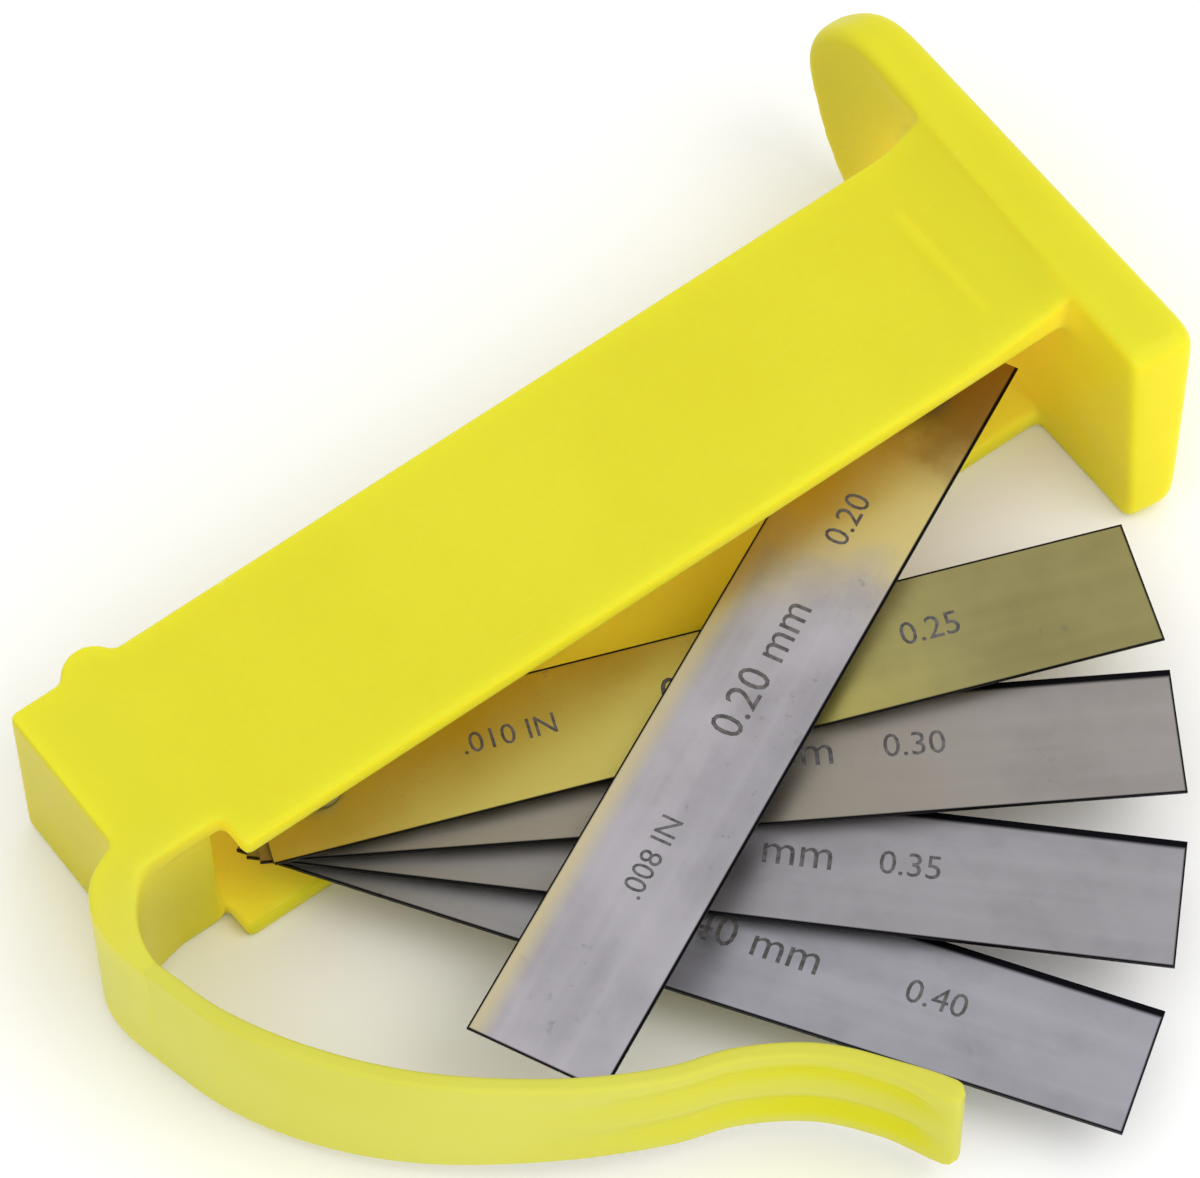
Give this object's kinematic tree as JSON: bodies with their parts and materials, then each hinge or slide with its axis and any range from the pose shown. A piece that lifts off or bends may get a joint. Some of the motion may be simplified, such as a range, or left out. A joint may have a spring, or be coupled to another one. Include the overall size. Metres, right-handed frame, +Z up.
{
  "type": "feeler gauge",
  "caption": "Folding feeler gauge: slim steel leaves that swing out of a moulded channel holder with an end flange and a flexible retaining strap.",
  "frame": {"origin": "the near rivet's axis at the outer face of the holder's back plate, the face it lies on", "axes": "+X along the holder from the strap end to the flange, +Y from the open mouth to the spine, +Z up through the holder from its back plate to its front plate"},
  "size_m": [0.1143, 0.1041, 0.0233],
  "materials": {
    "holder_plastic": "moulded lemon yellow, satin gloss",
    "strap_plastic": "moulded yellow, slightly translucent where thin",
    "leaf_steel": "cold-rolled spring steel, fine lengthwise grain, lightly oiled",
    "rivet_steel": "zinc plated steel"
  },
  "bodies": {
    "holder": {"holder": "holder_plastic", "near_rivet": "rivet_steel", "far_rivet": "rivet_steel", "near_spacer_1": "rivet_steel", "near_spacer_2": "rivet_steel", "near_spacer_3": "rivet_steel", "far_spacer": "rivet_steel"},
    "near_leaf_040": {"near_leaf_040": "leaf_steel"},
    "near_leaf_035": {"near_leaf_035": "leaf_steel"},
    "near_leaf_030": {"near_leaf_030": "leaf_steel"},
    "near_leaf_025": {"near_leaf_025": "leaf_steel"},
    "far_leaf_020": {"far_leaf_020": "leaf_steel"},
    "strap_1": {"strap_1": "strap_plastic"},
    "strap_2": {"strap_2": "strap_plastic"},
    "strap_3": {"strap_3": "strap_plastic"},
    "strap_4": {"strap_4": "strap_plastic"},
    "strap_5": {"strap_5": "strap_plastic"},
    "strap_6": {"strap_6": "strap_plastic"}
  },
  "joints": [
    {"name": "near_leaf_040_swing", "type": "hinge", "parent": "holder", "child": "near_leaf_040", "pos_m": [0, 0, 0.008], "axis": [0, 0, 1], "range_deg": [-3.9, 61.6]},
    {"name": "near_leaf_035_swing", "type": "hinge", "parent": "holder", "child": "near_leaf_035", "pos_m": [0, 0, 0.008], "axis": [0, 0, 1], "range_deg": [-16, 49.5]},
    {"name": "near_leaf_030_swing", "type": "hinge", "parent": "holder", "child": "near_leaf_030", "pos_m": [0, 0, 0.008], "axis": [0, 0, 1], "range_deg": [-28.5, 37]},
    {"name": "near_leaf_025_swing", "type": "hinge", "parent": "holder", "child": "near_leaf_025", "pos_m": [0, 0, 0.008], "axis": [0, 0, 1], "range_deg": [-39.6, 25.9]},
    {"name": "far_leaf_020_swing", "type": "hinge", "parent": "holder", "child": "far_leaf_020", "pos_m": [0.069, -0.0004, 0.008], "axis": [0, 0, 1], "range_deg": [-30.9, 0]},
    {"name": "strap_bend_1", "type": "hinge", "parent": "holder", "child": "strap_1", "pos_m": [-0.0243, -0.0099, 0.01], "axis": [0, 0, 1], "range_deg": [-12, 0], "stiffness_Nm_per_rad": 0.02},
    {"name": "strap_bend_2", "type": "hinge", "parent": "strap_1", "child": "strap_2", "pos_m": [-0.02009, -0.02143, 0.01], "axis": [0, 0, 1], "range_deg": [-10.2, 0]},
    {"name": "strap_bend_3", "type": "hinge", "parent": "strap_2", "child": "strap_3", "pos_m": [-0.01262, -0.03119, 0.01], "axis": [0, 0, 1], "range_deg": [-8.4, 0]},
    {"name": "strap_bend_4", "type": "hinge", "parent": "strap_3", "child": "strap_4", "pos_m": [-0.00302, -0.03889, 0.01], "axis": [0, 0, 1], "range_deg": [-6, 0]},
    {"name": "strap_bend_5", "type": "hinge", "parent": "strap_4", "child": "strap_5", "pos_m": [0.00783, -0.04469, 0.01], "axis": [0, 0, 1], "range_deg": [-4.2, 0]},
    {"name": "strap_bend_6", "type": "hinge", "parent": "strap_5", "child": "strap_6", "pos_m": [0.01852, -0.05057, 0.01], "axis": [0, 0, 1], "range_deg": [-1.8, 0]}
  ],
  "couplings": [
    {"joint": "strap_bend_2", "follows": "strap_bend_1", "ratio": 0.85},
    {"joint": "strap_bend_3", "follows": "strap_bend_1", "ratio": 0.7},
    {"joint": "strap_bend_4", "follows": "strap_bend_1", "ratio": 0.5},
    {"joint": "strap_bend_5", "follows": "strap_bend_1", "ratio": 0.35},
    {"joint": "strap_bend_6", "follows": "strap_bend_1", "ratio": 0.15}
  ]
}
